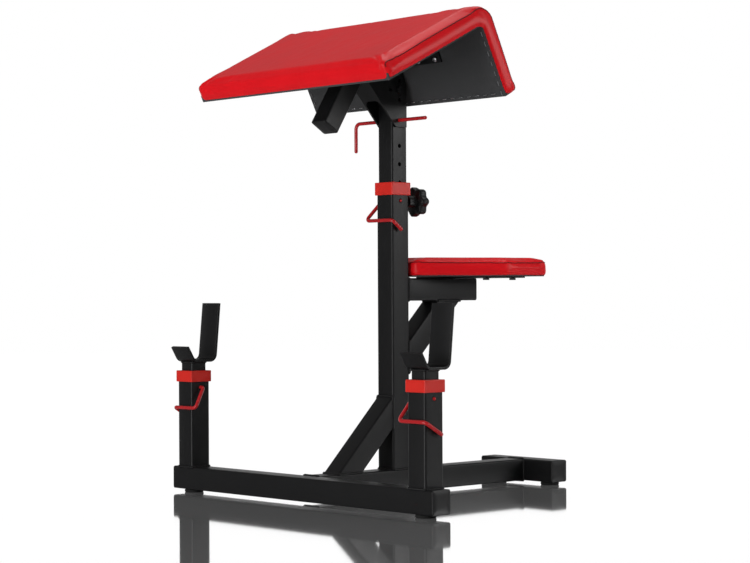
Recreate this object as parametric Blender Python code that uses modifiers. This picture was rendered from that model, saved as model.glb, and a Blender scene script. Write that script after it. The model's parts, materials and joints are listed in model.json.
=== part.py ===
"""Arm-curl bench with a telescoping V pad, a seat and two telescoping bar hooks.

Metres, +Z up. +X runs along the front beam and +Y towards the seat. The
pieces are laid out with the main post on the Z axis, and the last step moves
them all so that the bench stands on the middle of its floor plan. Every
moving body hangs on an empty that stands on its joint's axis.
"""
import math

import bmesh
import bpy
from mathutils import Matrix, Vector

# Shared sizes
GAP = 0.0003              # between two pieces that touch
TUBE = 0.050              # outer side of every frame tube
WALL = 0.002              # wall of the frame tubes
FOOT = 0.0075             # height of the rubber feet
FOOT_R = 0.021
CAP = 0.003               # thickness of the plastic tube caps
CAP_PLUG = 0.010
PIN_R = 0.004             # rod of every pin
PIN_PLAY = 0.0006         # radial play of a pin in its holes
HOLE_PITCH = 0.040        # between two height settings
CLIP_BEND = 0.008         # bend radius of the sprung wire pins

# Base
BEAM_LENGTH = 0.826
BEAM_Y = -0.265
CROSSBAR_LENGTH = 0.218
CROSSBAR_Y = 0.415
CROSSBAR_FOOT_INSET = 0.026

# Main post and what is welded to it
POST_TOP = 0.682
FRONT_BRACE_TOP = 0.218   # where the brace's upper edge meets the post
SEAT_ARM_TOP = 0.476
SEAT_ARM_END = 0.234
SEAT_BRACE_REACH = 0.159  # from the post's face to the brace's lower edge

# Seat
SEAT_PLATE = (0.180, 0.170, 0.003)
SEAT_PLATE_END = 0.327
SEAT_BOLTS_X = 0.070
SEAT_BOLTS_Y = (0.221, 0.307)
SEAT_BOLT_R = 0.0035
SEAT_BOLT_HEAD = (0.0075, 0.0045, 6)    # radius, depth and sides
SEAT_FRONT = 0.032
SEAT_SHOULDER = 0.226
SEAT_BACK = 0.362
SEAT_FRONT_HALF = 0.042
SEAT_HALF = 0.135
SEAT_HEIGHT = 0.041
SEAT_BOARD = 0.012
SEAT_RIM = 0.004          # covering folded under the board
SEAT_CORNER_R = 0.022

# Collars
COLLAR_SKIRT = 0.003
POST_COLLAR = 0.028
UPRIGHT_COLLAR = 0.025

# Mast
MAST = 0.045
MAST_BOTTOM = 0.450
MAST_ABOVE_PIVOT = 0.010
MAST_PIN_Z = 0.645
MAST_HOLES = range(-2, 5)
# Bends of a wire pin: out beside the tube, drop in front, tail (Y, drop)
MAST_CLIP = (0.030, 0.043, (-0.003, 0.065))
HOOK_CLIP = (0.020, 0.045, (0.015, 0.072))

# Star knob
KNOB_Z = 0.645
KNOB_R = 0.0335
KNOB_LOBES = 7
KNOB_DEPTH = 0.022
KNOB_STAND = 0.036        # from the post's face to the knob's head
KNOB_HUB_R = 0.013
STUD_R = 0.006
NUT_ACROSS = 0.019
NUT_DEPTH = 0.012

# Pad head
PIVOT = (-0.005, 0.886)   # Y and Z of the pivot bolt
PIVOT_R = 0.005
PIVOT_HEAD = (0.0095, 0.0065, 6)
PIVOT_NUT_DEPTH = 0.008
L_PIN_Z = 0.8205
L_PIN_REACH = 0.113
L_PIN_LEG = 0.065
L_PIN_BEND = 0.012
FORK_PLATE = 0.005
FORK_TIP = (-0.015, 0.806)
FORK_BACK = 0.017
FORK_SLOPE = math.radians(48.4)
FORK_NOTCH_Z = 0.860
FORK_NOTCH_R = 0.014
FORK_FRONT = 0.130        # length of the sloping front, and where the arm's weld starts
FORK_ARM_END = 0.260      # along the arm from its foot
FORK_LAP = 0.008          # of the side plates over the arm's side
INDEX_R = 0.0045
INDEX_STEP = 0.021

# Pad
PAD_CORNER = (-0.027, 0.997)  # Y and Z of the inner corner of the V
PAD_TILT = math.radians(26.5)
PAD_WIDTH = 0.610
PAD_FRONT = 0.298         # along the long slab, from the corner
PAD_BACK = 0.163          # down the short slab, from the corner
PAD_THICK = 0.046
PAD_RIDGE_R = 0.036
PAD_EDGE_R = 0.012
PAD_BOARD = 0.015
PAD_RIM = 0.004
ANGLE = 0.004             # thickness of the pad's angle bracket
ANGLE_LENGTH = 0.310
ANGLE_FRONT = 0.130
ANGLE_BACK = 0.066
PAD_SCREWS_X = (0.088, 0.139)
PAD_SCREW_R = 0.0025
PAD_SCREW_EDGE = 0.009
PAD_SCREW_DEEP = 0.0115   # into the board
PAD_SCREW_HEAD = (0.0055, 0.0025, 16)
ARM_FOOT = (-0.241, -0.102)   # in the pad's own frame
ARM_SLOPE = math.radians(31.5)
ARM_LENGTH = 0.300        # before it is cut off at the bracket

# Hook uprights
UPRIGHT_X = 0.372
UPRIGHT_TOP = 0.269
UPRIGHT_WALL = 0.0025
HOOK_TUBE = 0.040
HOOK_TUBE_WALL = 0.002
HOOK_SEAT_Z = 0.291
HOOK_TUBE_BOTTOM = 0.112
HOOK_PIN_Z = 0.235
HOOK_HOLES = range(-2, 1)
HOOK_WIDTH = 0.060
HOOK_PLATE = 0.006
HOOK_BACK_TOP = 0.422
HOOK_BACK_Y = 0.042       # outside of the back, from the tube's axis
HOOK_BACK_LEAN = math.radians(5.5)
HOOK_LIP_Z = 0.325
HOOK_LIP_Y = 0.041        # outside of the lip's top, from the tube's axis
HOOK_BEND_R = 0.018

# Derived heights
BEAM_TOP = FOOT + TUBE
HALF = TUBE / 2
PARTS = None
CUTTERS = None


def start():
    """Empty the scene and make the two collections."""
    global PARTS, CUTTERS
    for obj in list(bpy.data.objects):
        bpy.data.objects.remove(obj)
    PARTS = bpy.data.collections.new("arm_curl_bench")
    CUTTERS = bpy.data.collections.new("cutters")
    for group in (PARTS, CUTTERS):
        bpy.context.scene.collection.children.link(group)


def material(name, color, roughness, metallic=0.0):
    mat = bpy.data.materials.new(name)
    mat.use_nodes = True
    shader = mat.node_tree.nodes["Principled BSDF"]
    shader.inputs["Base Color"].default_value = (*color, 1)
    shader.inputs["Roughness"].default_value = roughness
    shader.inputs["Metallic"].default_value = metallic
    return mat


def steel(name):
    return material(name, (0.030, 0.031, 0.033), 0.42, 0.4)


def red_plastic(name):
    return material(name, (0.62, 0.035, 0.030), 0.40)


def black_plastic(name):
    return material(name, (0.018, 0.018, 0.020), 0.50)


def zinc(name):
    return material(name, (0.55, 0.56, 0.58), 0.35, 1.0)


def axis_empty(name, place, parent=None):
    """An empty on a joint's axis, to which the moving pieces are parented."""
    empty = bpy.data.objects.new(name, None)
    PARTS.objects.link(empty)
    empty.empty_display_size = 0.05
    empty.matrix_world = Matrix.Translation(place)
    if parent:
        attach(empty, parent)
    bpy.context.view_layer.update()
    return empty


def attach(obj, parent):
    """Parent an object and leave it where it is."""
    bpy.context.view_layer.update()
    world = obj.matrix_world.copy()
    obj.parent = parent
    obj.matrix_parent_inverse = parent.matrix_world.inverted()
    obj.matrix_world = world


def add(name, bm, mat=None, parent=None, place=None):
    """Turn a bmesh into a piece, or into a cutter if it has no material."""
    mesh = bpy.data.meshes.new(name)
    bmesh.ops.recalc_face_normals(bm, faces=bm.faces)
    bm.to_mesh(mesh)
    bm.free()
    obj = bpy.data.objects.new(name, mesh)
    if mat:
        PARTS.objects.link(obj)
        mesh.materials.append(mat)
    else:
        CUTTERS.objects.link(obj)
        obj.hide_render = True
        obj.display_type = "WIRE"
    if place:
        obj.matrix_world = place
    if parent:
        attach(obj, parent)
    return obj


def add_box(bm, size, centre, turn=None):
    """Add a box of a size, centred on a point, to a bmesh."""
    matrix = Matrix.Translation(centre) @ (turn or Matrix()) @ Matrix.Diagonal((*size, 1))
    bmesh.ops.create_cube(bm, size=1, matrix=matrix)


def add_rod(bm, radius, start, end, segments=24):
    """Add a cylinder between two points to a bmesh."""
    start, end = Vector(start), Vector(end)
    along = end - start
    turn = along.to_track_quat("Z", "Y").to_matrix().to_4x4()
    matrix = Matrix.Translation((start + end) / 2) @ turn
    bmesh.ops.create_cone(bm, cap_ends=True, segments=segments, radius1=radius,
                          radius2=radius, depth=along.length, matrix=matrix)


def add_prism(bm, outline, low, high):
    """Add a flat outline of (Y, Z) points, pulled along X, to a bmesh."""
    face = bm.faces.new([bm.verts.new((low, y, z)) for y, z in outline])
    pulled = bmesh.ops.extrude_face_region(bm, geom=[face])["geom"]
    verts = [item for item in pulled if isinstance(item, bmesh.types.BMVert)]
    bmesh.ops.translate(bm, verts=verts, vec=(high - low, 0, 0))


def box(name, size, centre, mat=None, parent=None):
    bm = bmesh.new()
    add_box(bm, size, centre)
    return add(name, bm, mat, parent)


def prism(name, outline, width, mat=None, parent=None, place=None, centre=0.0):
    bm = bmesh.new()
    add_prism(bm, outline, centre - width / 2, centre + width / 2)
    return add(name, bm, mat, parent, place)


def cut(obj, cutter):
    """Subtract a cutter from a piece."""
    modifier = obj.modifiers.new(cutter.name, "BOOLEAN")
    modifier.operation = "DIFFERENCE"
    modifier.solver = "EXACT"
    modifier.object = cutter


def bevel(obj, width, segments=2, angle=30):
    modifier = obj.modifiers.new("edges", "BEVEL")
    modifier.width = width
    modifier.segments = segments
    modifier.limit_method = "ANGLE"
    modifier.angle_limit = math.radians(angle)


def drill(obj, radius, holes, axis, depth, segments=20):
    """Cut round holes, each given by its middle, through a piece."""
    bm = bmesh.new()
    reach = Vector(axis) * depth / 2
    for middle in holes:
        add_rod(bm, radius, Vector(middle) - reach, Vector(middle) + reach, segments)
    cut(obj, add(obj.name + "_holes", bm))


def square_tube(name, side, wall, start, end, mat, parent=None):
    """A straight square tube between two points on one of the main axes."""
    start, end = Vector(start), Vector(end)
    along = [abs(value) > 0 for value in end - start]
    length = (end - start).length
    size = [length if is_long else side for is_long in along]
    bore = [length + 0.02 if is_long else side - 2 * wall for is_long in along]
    tube = box(name, size, (start + end) / 2, mat, parent)
    cut(tube, box(name + "_bore", bore, (start + end) / 2))
    return tube


def tube_cap(name, side, wall, place, outward, parent=None):
    """A plastic cap: a square plate on a tube's end with a plug inside it."""
    place, outward = Vector(place), Vector(outward)
    turn = outward.to_track_quat("Z", "Y").to_matrix().to_4x4()
    plug = side - 2 * (wall + GAP)
    bm = bmesh.new()
    add_box(bm, (side, side, CAP), place + outward * (GAP + CAP / 2), turn)
    inner = min(bm.faces, key=lambda face: face.calc_center_median().dot(outward))
    bmesh.ops.inset_region(bm, faces=[inner], thickness=(side - plug) / 2, use_even_offset=True)
    pulled = bmesh.ops.extrude_face_region(bm, geom=[inner])["geom"]
    bmesh.ops.delete(bm, geom=[inner], context="FACES_ONLY")
    verts = [item for item in pulled if isinstance(item, bmesh.types.BMVert)]
    bmesh.ops.translate(bm, verts=verts, vec=-outward * (GAP + CAP_PLUG))
    return add(name, bm, black_plastic(name), parent)


def join(obj, other):
    """Unite a piece with a second solid that overlaps it."""
    modifier = obj.modifiers.new(other.name, "BOOLEAN")
    modifier.operation = "UNION"
    modifier.solver = "EXACT"
    modifier.object = other


def bolt(name, mat, head, shank, seat_at, axis, parent=None, place=None):
    """A bolt or screw: head is (radius, depth, sides), shank is (radius, length)."""
    seat_at, axis = Vector(seat_at), Vector(axis)
    radius, depth, sides = head
    bm = bmesh.new()
    add_rod(bm, radius, seat_at - axis * depth, seat_at, sides)
    screw = add(name, bm, mat, parent, place)
    bm = bmesh.new()
    add_rod(bm, shank[0], seat_at - axis * depth / 2, seat_at + axis * shank[1], 16)
    join(screw, add(name + "_shank", bm, None, parent, place))
    return screw


def filleted(points, radius, steps=4):
    """The corners of a path rounded off with arcs."""
    path = [Vector(points[0])]
    for before, corner, after in zip(points, points[1:], points[2:]):
        corner = Vector(corner)
        back = (Vector(before) - corner).normalized()
        ahead = (Vector(after) - corner).normalized()
        half = back.angle(ahead) / 2
        middle = corner + (back + ahead).normalized() * radius / math.sin(half)
        first = corner + back * radius / math.tan(half) - middle
        last = corner + ahead * radius / math.tan(half) - middle
        sweep = first.angle(last)
        for step in range(steps + 1):
            share = step / steps
            arm = first * math.sin((1 - share) * sweep) + last * math.sin(share * sweep)
            path.append(middle + arm / math.sin(sweep))
    path.append(Vector(points[-1]))
    return path


def wire(name, points, bend, parent):
    """A red rod bent along a path."""
    curve = bpy.data.curves.new(name, "CURVE")
    curve.dimensions = "3D"
    curve.bevel_depth = PIN_R
    curve.bevel_resolution = 2
    curve.use_fill_caps = True
    spline = curve.splines.new("POLY")
    path = filleted(points, bend)
    spline.points.add(len(path) - 1)
    for point, place in zip(spline.points, path):
        point.co = (*place, 1)
    curve.materials.append(red_plastic(name))
    obj = bpy.data.objects.new(name, curve)
    PARTS.objects.link(obj)
    attach(obj, parent)
    return obj


def base():
    """Front beam, long base tube, rear crossbar, their caps and feet."""
    mid = FOOT + HALF
    beam_half, bar_half = BEAM_LENGTH / 2, CROSSBAR_LENGTH / 2
    square_tube("front_beam", TUBE, WALL, (-beam_half, BEAM_Y, mid),
                (beam_half, BEAM_Y, mid), steel("front_beam"))
    square_tube("base_tube", TUBE, WALL, (0, BEAM_Y + HALF + GAP, mid),
                (0, CROSSBAR_Y - HALF - GAP, mid), steel("base_tube"))
    square_tube("rear_crossbar", TUBE, WALL, (-bar_half, CROSSBAR_Y, mid),
                (bar_half, CROSSBAR_Y, mid), steel("rear_crossbar"))
    for side, label in ((-1, "left"), (1, "right")):
        outward = (side, 0, 0)
        tube_cap(label + "_beam_cap", TUBE, WALL, (side * beam_half, BEAM_Y, mid), outward)
        tube_cap(label + "_crossbar_cap", TUBE, WALL, (side * bar_half, CROSSBAR_Y, mid), outward)
        foot(label + "_front_foot", side * UPRIGHT_X, BEAM_Y)
        foot(label + "_rear_foot", side * (bar_half - CROSSBAR_FOOT_INSET), CROSSBAR_Y)


def foot(name, x, y):
    """A round rubber foot under a tube."""
    bm = bmesh.new()
    add_rod(bm, FOOT_R, (x, y, 0), (x, y, FOOT - GAP), 32)
    bevel(add(name, bm, material(name, (0.012, 0.012, 0.012), 0.85)), 0.0015, 1, 60)


def brace(name, outline, middle, slope):
    """A square tube with mitred ends, given by its side view and its slope."""
    tube = prism(name, outline, TUBE, steel(name))
    bm = bmesh.new()
    inside = TUBE - 2 * WALL
    add_box(bm, (inside, 1.0, inside), (0, *middle), Matrix.Rotation(slope, 4, "X"))
    cut(tube, add(name + "_bore", bm))


def post():
    """Main post, its front brace, the seat arm and the seat brace."""
    tube = square_tube("main_post", TUBE, WALL, (0, 0, BEAM_TOP + GAP), (0, 0, POST_TOP),
                       steel("main_post"))
    drill(tube, PIN_R + PIN_PLAY, [(0, 0, MAST_PIN_Z)], (1, 0, 0), TUBE + 0.02)
    drill(tube, STUD_R + PIN_PLAY, [(0, HALF, KNOB_Z)], (0, 1, 0), TUBE / 2)
    square_tube("seat_arm", TUBE, WALL, (0, HALF + GAP, SEAT_ARM_TOP - HALF),
                (0, SEAT_ARM_END, SEAT_ARM_TOP - HALF), steel("seat_arm"))
    tube_cap("seat_arm_cap", TUBE, WALL, (0, SEAT_ARM_END, SEAT_ARM_TOP - HALF), (0, 1, 0))

    slant = TUBE * math.sqrt(2)
    face, low, top = -HALF - GAP, BEAM_TOP + GAP, FRONT_BRACE_TOP
    toe = face - (top - low)
    brace("front_brace", ((toe, low), (face, top), (face, top - slant), (toe + slant, low)),
          ((toe + face + slant) / 2 - slant / 4, (low + top) / 2 - slant / 4), math.radians(45))

    face, top = HALF + GAP, SEAT_ARM_TOP - TUBE - GAP
    heel = HALF + SEAT_BRACE_REACH
    low = top - (heel - face)
    brace("seat_brace", ((face, low), (heel, top), (heel - slant, top), (face, low + slant)),
          ((face + heel) / 2 - slant / 4, (low + top) / 2 + slant / 4), math.radians(45))


def seat_outline(inset):
    """Narrow front, flaring sides and a straight rear part, as (X, Y)."""
    front, back = SEAT_FRONT + inset, SEAT_BACK - inset
    flare = SEAT_HALF - SEAT_FRONT_HALF
    side = inset * math.hypot(flare, SEAT_SHOULDER - SEAT_FRONT) / (SEAT_SHOULDER - SEAT_FRONT)
    half = [(SEAT_FRONT_HALF - side + flare * inset / (SEAT_SHOULDER - SEAT_FRONT), front),
            (SEAT_HALF - inset, SEAT_SHOULDER + (side - inset) * (SEAT_SHOULDER - SEAT_FRONT) / flare),
            (SEAT_HALF - inset, back)]
    return half + [(-x, y) for x, y in reversed(half)]


def seat_slab(name, inset, low, height, mat=None):
    """The seat's outline pulled up from a height, with rounded corners."""
    bm = bmesh.new()
    face = bm.faces.new([bm.verts.new((x, y, low)) for x, y in seat_outline(inset)])
    pulled = bmesh.ops.extrude_face_region(bm, geom=[face])["geom"]
    verts = [item for item in pulled if isinstance(item, bmesh.types.BMVert)]
    bmesh.ops.translate(bm, verts=verts, vec=(0, 0, height))
    upright = [edge for edge in bm.edges
               if abs((edge.verts[0].co - edge.verts[1].co).normalized().z) > 0.9]
    bmesh.ops.bevel(bm, geom=upright, offset=SEAT_CORNER_R - inset, segments=4, affect="EDGES",
                    profile=0.5, offset_type="OFFSET")
    return add(name, bm, mat)


def seat():
    """Mounting plate, bolts, board and cushion of the seat."""
    low = SEAT_ARM_TOP + GAP
    wide, deep, thick = SEAT_PLATE
    bolts = [(side * SEAT_BOLTS_X, y) for side in (-1, 1) for y in SEAT_BOLTS_Y]
    plate = box("seat_plate", (wide, deep, thick), (0, SEAT_PLATE_END - deep / 2, low + thick / 2),
                steel("seat_plate"))
    under = low + thick + GAP
    board = seat_slab("seat_board", SEAT_RIM + GAP, under, SEAT_BOARD,
                      material("seat_board", (0.045, 0.045, 0.048), 0.9))
    cushion = seat_slab("seat_cushion", 0, under, SEAT_HEIGHT,
                        material("seat_cushion", (0.60, 0.022, 0.030), 0.45))
    bevel(cushion, 0.006, 2)
    cut(cushion, seat_slab("seat_board_pocket", SEAT_RIM, under - 0.01, SEAT_BOARD + GAP + 0.01))

    holes = [(x, y, under) for x, y in bolts]
    drill(plate, SEAT_BOLT_R + PIN_PLAY, holes, (0, 0, 1), 0.02, 16)
    drill(board, SEAT_BOLT_R + GAP, holes, (0, 0, 1), 2 * (SEAT_BOARD - 0.001), 16)
    labels = ("left_front", "left_rear", "right_front", "right_rear")
    for label, (x, y) in zip(labels, bolts):
        bolt(label + "_seat_bolt", steel(label + "_seat_bolt"), SEAT_BOLT_HEAD,
             (SEAT_BOLT_R, thick + SEAT_BOARD - 0.002), (x, y, low - GAP), (0, 0, 1))


def collar(name, x, y, tube, tube_top, inner, height, parent=None):
    """A red sleeve that caps a tube's top and guides the tube inside it."""
    outer = tube + 2 * COLLAR_SKIRT
    top = tube_top + GAP + COLLAR_SKIRT
    ring = box(name, (outer, outer, height), (x, y, top - height / 2), red_plastic(name), parent)
    bevel(ring, 0.0015, 2, 60)
    skirt_depth = height - COLLAR_SKIRT
    cut(ring, box(name + "_skirt", (tube + 2 * GAP, tube + 2 * GAP, skirt_depth * 2),
                  (x, y, top - height)))
    cut(ring, box(name + "_guide", (inner + 2 * GAP, inner + 2 * GAP, 0.1), (x, y, top)))


def mast(parent):
    """The sliding mast with its row of holes."""
    top = PIVOT[1] + MAST_ABOVE_PIVOT
    tube = square_tube("mast", MAST, WALL, (0, 0, MAST_BOTTOM), (0, 0, top), steel("mast"), parent)
    rows = [(0, 0, MAST_PIN_Z + step * HOLE_PITCH) for step in MAST_HOLES
            if abs(MAST_PIN_Z + step * HOLE_PITCH - L_PIN_Z) > 0.02]
    drill(tube, PIN_R + PIN_PLAY, rows + [(0, PIVOT[0], L_PIN_Z)], (1, 0, 0), MAST + 0.02)
    drill(tube, PIVOT_R + 0.0002, [(0, *PIVOT)], (1, 0, 0), MAST + 0.02, 24)


def clip_pin(name, place, side, inner_wall, bends, parent):
    """A sprung wire pin: a shank in the near wall, a loop in front and a tip in the far wall.

    The shank enters on the side given, and the wire swings about it. Its
    middle, hidden in the sliding tube, is left out so that the tube can move.
    """
    x, y, z = place
    near = HALF + 0.010
    front = -HALF - 0.005
    out, drop, (tail_y, tail_drop) = bends
    route = ((inner_wall, 0, 0), (near, 0, 0), (HALF + out, front, -drop),
             (-HALF - 0.006, front, -drop), (-HALF - 0.008, tail_y, -tail_drop))
    wire(name, [(x + side * along, y + depth, z + up) for along, depth, up in route],
         CLIP_BEND, parent)
    bm = bmesh.new()
    add_rod(bm, PIN_R, (x - side * inner_wall, y, z), (x - side * (HALF + 0.0035), y, z), 12)
    tip = add(name + "_tip", bm, red_plastic(name + "_tip"), parent)
    bevel(tip, 0.001, 1, 60)


def star_knob(feed, turn):
    """Clamping knob on a stud, and the nut welded to the post behind it."""
    face = HALF + GAP
    bm = bmesh.new()
    add_rod(bm, NUT_ACROSS / 2 / math.cos(math.pi / 6), (0, face, KNOB_Z),
            (0, face + NUT_DEPTH, KNOB_Z), 6)
    nut = add("knob_nut", bm, steel("knob_nut"))
    drill(nut, STUD_R + PIN_PLAY, [(0, face, KNOB_Z)], (0, 1, 0), 0.1)

    head = HALF + KNOB_STAND
    bm = bmesh.new()
    add_rod(bm, STUD_R, (0, MAST / 2 + GAP, KNOB_Z), (0, head + KNOB_DEPTH / 2, KNOB_Z), 24)
    add("knob_stud", bm, zinc("knob_stud"), feed)

    outline = []
    for step in range(KNOB_LOBES * 8):
        angle = 2 * math.pi * step / (KNOB_LOBES * 8)
        reach = KNOB_R * (0.91 + 0.09 * math.cos(KNOB_LOBES * angle))
        outline.append((reach * math.cos(angle), reach * math.sin(angle)))
    bm = bmesh.new()
    face = bm.faces.new([bm.verts.new((x, head, KNOB_Z + z)) for x, z in outline])
    pulled = bmesh.ops.extrude_face_region(bm, geom=[face])["geom"]
    verts = [item for item in pulled if isinstance(item, bmesh.types.BMVert)]
    bmesh.ops.translate(bm, verts=verts, vec=(0, KNOB_DEPTH, 0))
    knob = add("star_knob", bm, black_plastic("star_knob"), turn)
    bevel(knob, 0.003, 2, 60)
    hub = bmesh.new()
    add_rod(hub, KNOB_HUB_R, (0, HALF + NUT_DEPTH + 0.004, KNOB_Z), (0, head + 0.004, KNOB_Z), 32)
    hub = add("star_knob_hub", hub)
    join(knob, hub)
    depth = 2 * (head + KNOB_DEPTH / 2 + GAP - HALF)
    drill(knob, STUD_R + GAP, [(0, HALF, KNOB_Z)], (0, 1, 0), depth, 24)


def pad_frame():
    """The pad's own frame: +Y up the long slab, -Z down the short one."""
    return Matrix.Translation((0, *PAD_CORNER)) @ Matrix.Rotation(PAD_TILT, 4, "X")


def arc(centre, radius, start, end, steps):
    """Points of an arc in the (Y, Z) plane, angles in degrees."""
    angles = (math.radians(start + (end - start) * step / steps) for step in range(steps + 1))
    return [(centre[0] + radius * math.cos(a), centre[1] + radius * math.sin(a)) for a in angles]


def pad(parent):
    """Two boards and one cushion folded over both of them."""
    place = pad_frame()
    thick, ridge, edge = PAD_THICK, PAD_RIDGE_R, PAD_EDGE_R
    outline = [(0, 0), (-PAD_FRONT, 0)]
    outline += arc((-PAD_FRONT + edge, thick - edge), edge, 180, 90, 4)
    outline += arc((thick - ridge, thick - ridge), ridge, 90, 0, 8)
    outline += arc((thick - edge, -PAD_BACK + edge), edge, 0, -90, 4)
    outline += [(0, -PAD_BACK)]
    cushion = prism("pad_cushion", outline, PAD_WIDTH,
                    material("pad_cushion", (0.60, 0.022, 0.030), 0.45), parent, place)
    bevel(cushion, 0.005, 2, 50)
    wide = PAD_WIDTH - 2 * PAD_RIM
    deep = PAD_BOARD
    rim = PAD_RIM
    slabs = (("front", ((-PAD_FRONT + rim, 0), (-rim, 0), (-rim, deep), (-PAD_FRONT + rim, deep))),
             ("rear", ((0, -PAD_BACK + rim), (0, 0), (deep, 0), (deep, -PAD_BACK + rim))))
    for label, corners in slabs:
        name = label + "_pad_board"
        centre = [sum(point[i] for point in corners) / 4 for i in (0, 1)]
        inner = [(y + math.copysign(GAP, centre[0] - y), z + math.copysign(GAP, centre[1] - z))
                 for y, z in corners]
        board = prism(name, inner, wide - 2 * GAP,
                      material(name, (0.075, 0.078, 0.080), 0.9), parent, place)
        drill_pad(board, parent, place, (label,))
        mouth = -0.01
        flat = 1 if label == "front" else 0
        pocket = [tuple(mouth if value == 0 and axis == flat else value
                        for axis, value in enumerate(point)) for point in corners]
        cut(cushion, prism(name + "_pocket", pocket, wide, None, parent, place))


def pad_screws():
    """Board, places and direction of the screws, in the pad's frame."""
    inner, outer = PAD_SCREWS_X
    front = [(x, -ANGLE_FRONT + PAD_SCREW_EDGE, 0) for x in (-outer, outer)]
    rear = [(x, 0, -ANGLE_BACK + PAD_SCREW_EDGE) for x in (-outer, -inner, inner, outer)]
    return ("front", front, (0, 0, 1)), ("rear", rear, (0, 1, 0))


def drill_pad(obj, parent, place, boards=("front", "rear")):
    """Screw holes through a pad piece, along the normal of each board."""
    for label, holes, axis in pad_screws():
        if label not in boards:
            continue
        reach = Vector(axis) * (PAD_SCREW_DEEP + 0.001)
        bm = bmesh.new()
        for hole in holes:
            add_rod(bm, PAD_SCREW_R + GAP, Vector(hole) - reach, Vector(hole) + reach, 16)
        cut(obj, add(obj.name + "_" + label + "_holes", bm, None, parent, place))


def pad_bracket(parent):
    """The angle bracket in the V, its screws and the arm tube below it."""
    place = pad_frame()
    out = GAP
    back = GAP + ANGLE
    outline = ((-ANGLE_FRONT, -out), (-out, -out), (-out, -ANGLE_BACK),
               (-back, -ANGLE_BACK), (-back, -back), (-ANGLE_FRONT, -back))
    angle = prism("pad_angle_bracket", outline, ANGLE_LENGTH, steel("pad_angle_bracket"),
                  parent, place)
    drill_pad(angle, parent, place)

    for label, holes, axis in pad_screws():
        for number, hole in enumerate(holes, 1):
            name = "%s_pad_screw_%d" % (label, number)
            bolt(name, zinc(name), PAD_SCREW_HEAD, (PAD_SCREW_R, back + PAD_SCREW_DEEP),
                 Vector(hole) - Vector(axis) * (back + GAP), axis, parent, place)

    foot_y, foot_z = ARM_FOOT
    turn = Matrix.Rotation(ARM_SLOPE, 4, "X")
    middle = Vector((0, foot_y, foot_z)) + turn @ Vector((0, ARM_LENGTH / 2, 0))
    bm = bmesh.new()
    add_box(bm, (MAST, ARM_LENGTH, MAST), middle, turn)
    arm = add("pad_arm", bm, steel("pad_arm"), parent, place)
    bm = bmesh.new()
    add_box(bm, (MAST - 2 * WALL, ARM_LENGTH + 0.02, MAST - 2 * WALL), middle, turn)
    cut(arm, add("pad_arm_bore", bm, None, parent, place))
    cut(arm, pad_side(parent))
    foot = place @ Vector((0, foot_y, foot_z))
    outward = place.to_3x3() @ turn.to_3x3() @ Vector((0, -1, 0))
    tube_cap("pad_arm_cap", MAST, WALL, foot, outward, parent)


def pad_side(parent):
    """A cutter that holds all the room of the pad and its angle bracket."""
    edge = 2 * GAP + ANGLE
    far = 0.6
    outline = ((-far, -edge), (-edge, -edge), (-edge, -far), (far, -far), (far, far), (-far, far))
    return prism("pad_side", outline, 1.0, None, parent, pad_frame())


def fork_line(distance):
    """A point on the outside of the fork's sloping front, from its tip."""
    return (FORK_TIP[0] - distance * math.cos(FORK_SLOPE),
            FORK_TIP[1] + distance * math.sin(FORK_SLOPE))


def fork(parent):
    """U-shaped fork: two side plates and a sloping web with a notch for the mast."""
    arm_angle = PAD_TILT + ARM_SLOPE
    along = Vector((math.cos(arm_angle), math.sin(arm_angle)))
    foot = pad_frame() @ Vector((0, *ARM_FOOT))
    rear = Vector((foot.y, foot.z)) + Vector((along.y, -along.x)) * (MAST / 2 - FORK_LAP)
    low = rear + along * FORK_FRONT
    high = rear + along * FORK_ARM_END
    inner_half = MAST / 2 + GAP
    width = 2 * (inner_half + FORK_PLATE)
    outline = (FORK_TIP, (FORK_BACK, FORK_TIP[1]), (FORK_BACK, high.y), tuple(high), tuple(low),
               fork_line(FORK_FRONT))
    piece = prism("head_fork", outline, width, steel("head_fork"), parent)

    into = Vector((math.sin(FORK_SLOPE), math.cos(FORK_SLOPE))) * FORK_PLATE
    below, above = Vector(fork_line(-0.05)) + into, Vector(fork_line(0.30)) + into
    room = (tuple(below), (0.3, below.y), (0.3, above.y), tuple(above))
    cut(piece, prism("fork_room", room, 2 * inner_half, None, parent))
    cut(piece, pad_side(parent))

    bm = bmesh.new()
    clear = MAST + 2 * GAP
    turn = Matrix.Rotation(arm_angle, 4, "X")
    add_box(bm, (0.2, 0.6, clear), (0, foot.y, foot.z), turn)
    cut(piece, add("fork_arm_room", bm, None, parent))

    notch = Vector((0, *fork_line((FORK_NOTCH_Z - FORK_TIP[1]) / math.sin(FORK_SLOPE))))
    normal = Vector((0, math.sin(FORK_SLOPE), math.cos(FORK_SLOPE)))
    down = Vector((0, math.cos(FORK_SLOPE), -math.sin(FORK_SLOPE)))
    bm = bmesh.new()
    add_box(bm, (2 * inner_half, 0.12, 4 * FORK_PLATE), notch + down * 0.06,
            Matrix.Rotation(-FORK_SLOPE, 4, "X"))
    corners = [edge for edge in bm.edges
               if abs((edge.verts[0].co - edge.verts[1].co).normalized().dot(normal)) > 0.9]
    bmesh.ops.bevel(bm, geom=corners, offset=FORK_NOTCH_R, segments=5, affect="EDGES",
                    profile=0.5, offset_type="OFFSET")
    cut(piece, add("fork_notch", bm, None, parent))

    pivot = Vector((0, *PIVOT))
    spots = ((0, INDEX_STEP), (0, -INDEX_STEP), (-INDEX_STEP * 1.25, 0))
    index = [pivot + Vector((0, *spot)) for spot in spots]
    drill(piece, INDEX_R, index, (1, 0, 0), width + 0.02, 16)
    drill(piece, PIN_R + PIN_PLAY, [(0, PIVOT[0], L_PIN_Z)], (1, 0, 0), width + 0.02)
    drill(piece, PIVOT_R + GAP, [pivot], (1, 0, 0), width + 0.02, 24)
    return width / 2


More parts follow.
